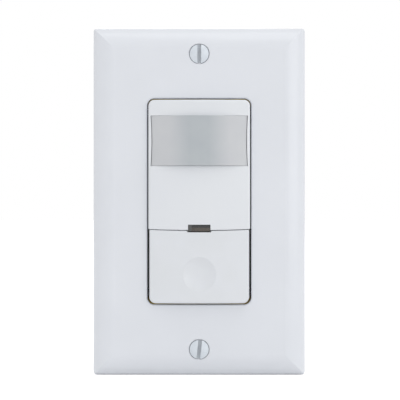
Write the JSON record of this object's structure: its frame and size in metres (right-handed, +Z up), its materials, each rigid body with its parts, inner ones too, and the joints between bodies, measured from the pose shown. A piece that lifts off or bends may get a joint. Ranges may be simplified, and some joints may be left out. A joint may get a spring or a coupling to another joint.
{
  "type": "wall occupancy sensor",
  "caption": "Wall-mounted occupancy sensor with wall plate, curved heat-sensing lens, indicator window, push button, trimmers and relay inside a wall-box housing.",
  "frame": {"origin": "centre of the wall plate's back plane, on the wall surface, midway between the box screw slots", "axes": "+X right as seen from the room, +Y into the wall, +Z up along the plate"},
  "size_m": [0.0698, 0.0429, 0.1142],
  "materials": {
    "wall_plate": "smooth, glossy",
    "front_cover": "smooth, glossy",
    "push_button": "smooth, glossy",
    "plate_screws": "painted white, satin",
    "lens": "translucent, milky",
    "lens_retainer": "fine grain",
    "indicator_window": "smoked, clear",
    "mounting_strap": "zinc plated, yellow passivated",
    "ground_screw": "green dyed zinc",
    "rear_housing": "fine grain",
    "housing_screws": "zinc plated",
    "control_board": "solder mask over glass fibre laminate",
    "power_board": "solder mask over glass fibre laminate",
    "pir_sensor": "nickel plated can",
    "pir_window": "coated silicon",
    "status_led": "clear resin",
    "daylight_sensor": "clear resin",
    "switch_body": "moulded",
    "switch_cover": "tinned",
    "switch_plunger": "moulded",
    "trimmer_bodies": "moulded",
    "time_knob": "moulded",
    "light_knob": "moulded",
    "range_knob": "moulded",
    "microcontroller": "moulded resin with tinned leads",
    "board_header": "moulded with tinned pins",
    "line_terminal": "stamped",
    "load_terminal": "stamped",
    "neutral_terminal": "stamped",
    "brass_terminal_screws": "turned",
    "neutral_screw": "nickel plated",
    "wire_clamps": "nickel plated",
    "relay_base": "moulded",
    "relay_case": "moulded",
    "relay_coil": "enamelled copper wire on a bobbin",
    "relay_yoke": "nickel plated iron",
    "relay_armature": "nickel plated iron",
    "relay_contacts": "spring brass",
    "film_capacitor": "potted box",
    "filter_capacitors": "sleeved can",
    "varistor": "dipped resin",
    "rectifier_diodes": "moulded resin with tinned legs",
    "fuse_resistor": "lacquered"
  },
  "bodies": {
    "sensor": {"wall_plate": "wall_plate", "front_cover": "front_cover", "plate_screws": "plate_screws", "lens": "lens", "lens_retainer": "lens_retainer", "indicator_window": "indicator_window", "mounting_strap": "mounting_strap", "ground_screw": "ground_screw", "rear_housing": "rear_housing", "housing_screws": "housing_screws", "control_board": "control_board", "power_board": "power_board", "pir_sensor": "pir_sensor", "pir_window": "pir_window", "status_led": "status_led", "daylight_sensor": "daylight_sensor", "switch_body": "switch_body", "switch_cover": "switch_cover", "trimmer_bodies": "trimmer_bodies", "microcontroller": "microcontroller", "board_header": "board_header", "line_terminal": "line_terminal", "load_terminal": "load_terminal", "neutral_terminal": "neutral_terminal", "brass_terminal_screws": "brass_terminal_screws", "neutral_screw": "neutral_screw", "wire_clamps": "wire_clamps", "relay_base": "relay_base", "relay_case": "relay_case", "relay_coil": "relay_coil", "relay_yoke": "relay_yoke", "relay_contacts": "relay_contacts", "film_capacitor": "film_capacitor", "filter_capacitors": "filter_capacitors", "varistor": "varistor", "rectifier_diodes": "rectifier_diodes", "fuse_resistor": "fuse_resistor"},
    "push_button": {"push_button": "push_button"},
    "switch_plunger": {"switch_plunger": "switch_plunger"},
    "time_knob": {"time_knob": "time_knob"},
    "light_knob": {"light_knob": "light_knob"},
    "range_knob": {"range_knob": "range_knob"},
    "relay_armature": {"relay_armature": "relay_armature"}
  },
  "joints": [
    {"name": "button_tilt", "type": "hinge", "parent": "sensor", "child": "push_button", "pos_m": [0, -0.004, -0.0128], "axis": [1, 0, 0], "range_deg": [0, 1.8], "stiffness_Nm_per_rad": 0.25},
    {"name": "plunger_slide", "type": "slide", "parent": "sensor", "child": "switch_plunger", "axis": [0, 1, 0], "range_m": [0, 0.00025]},
    {"name": "time_knob_turn", "type": "hinge", "parent": "sensor", "child": "time_knob", "pos_m": [-0.009, -0.0016, -0.0163], "axis": [0, 1, 0], "range_deg": [-135, 135]},
    {"name": "light_knob_turn", "type": "hinge", "parent": "sensor", "child": "light_knob", "pos_m": [0, -0.0016, -0.0163], "axis": [0, 1, 0], "range_deg": [-135, 135]},
    {"name": "range_knob_turn", "type": "hinge", "parent": "sensor", "child": "range_knob", "pos_m": [0.009, -0.0016, -0.0163], "axis": [0, 1, 0], "range_deg": [-135, 135]},
    {"name": "armature_tilt", "type": "hinge", "parent": "sensor", "child": "relay_armature", "pos_m": [-0.0053, 0.0157, -0.01825], "axis": [-1, 0, 0], "range_deg": [0, 4], "stiffness_Nm_per_rad": 0.002}
  ],
  "couplings": [
    {"joint": "plunger_slide", "follows": "button_tilt", "m_per_rad": 0.0079577}
  ]
}
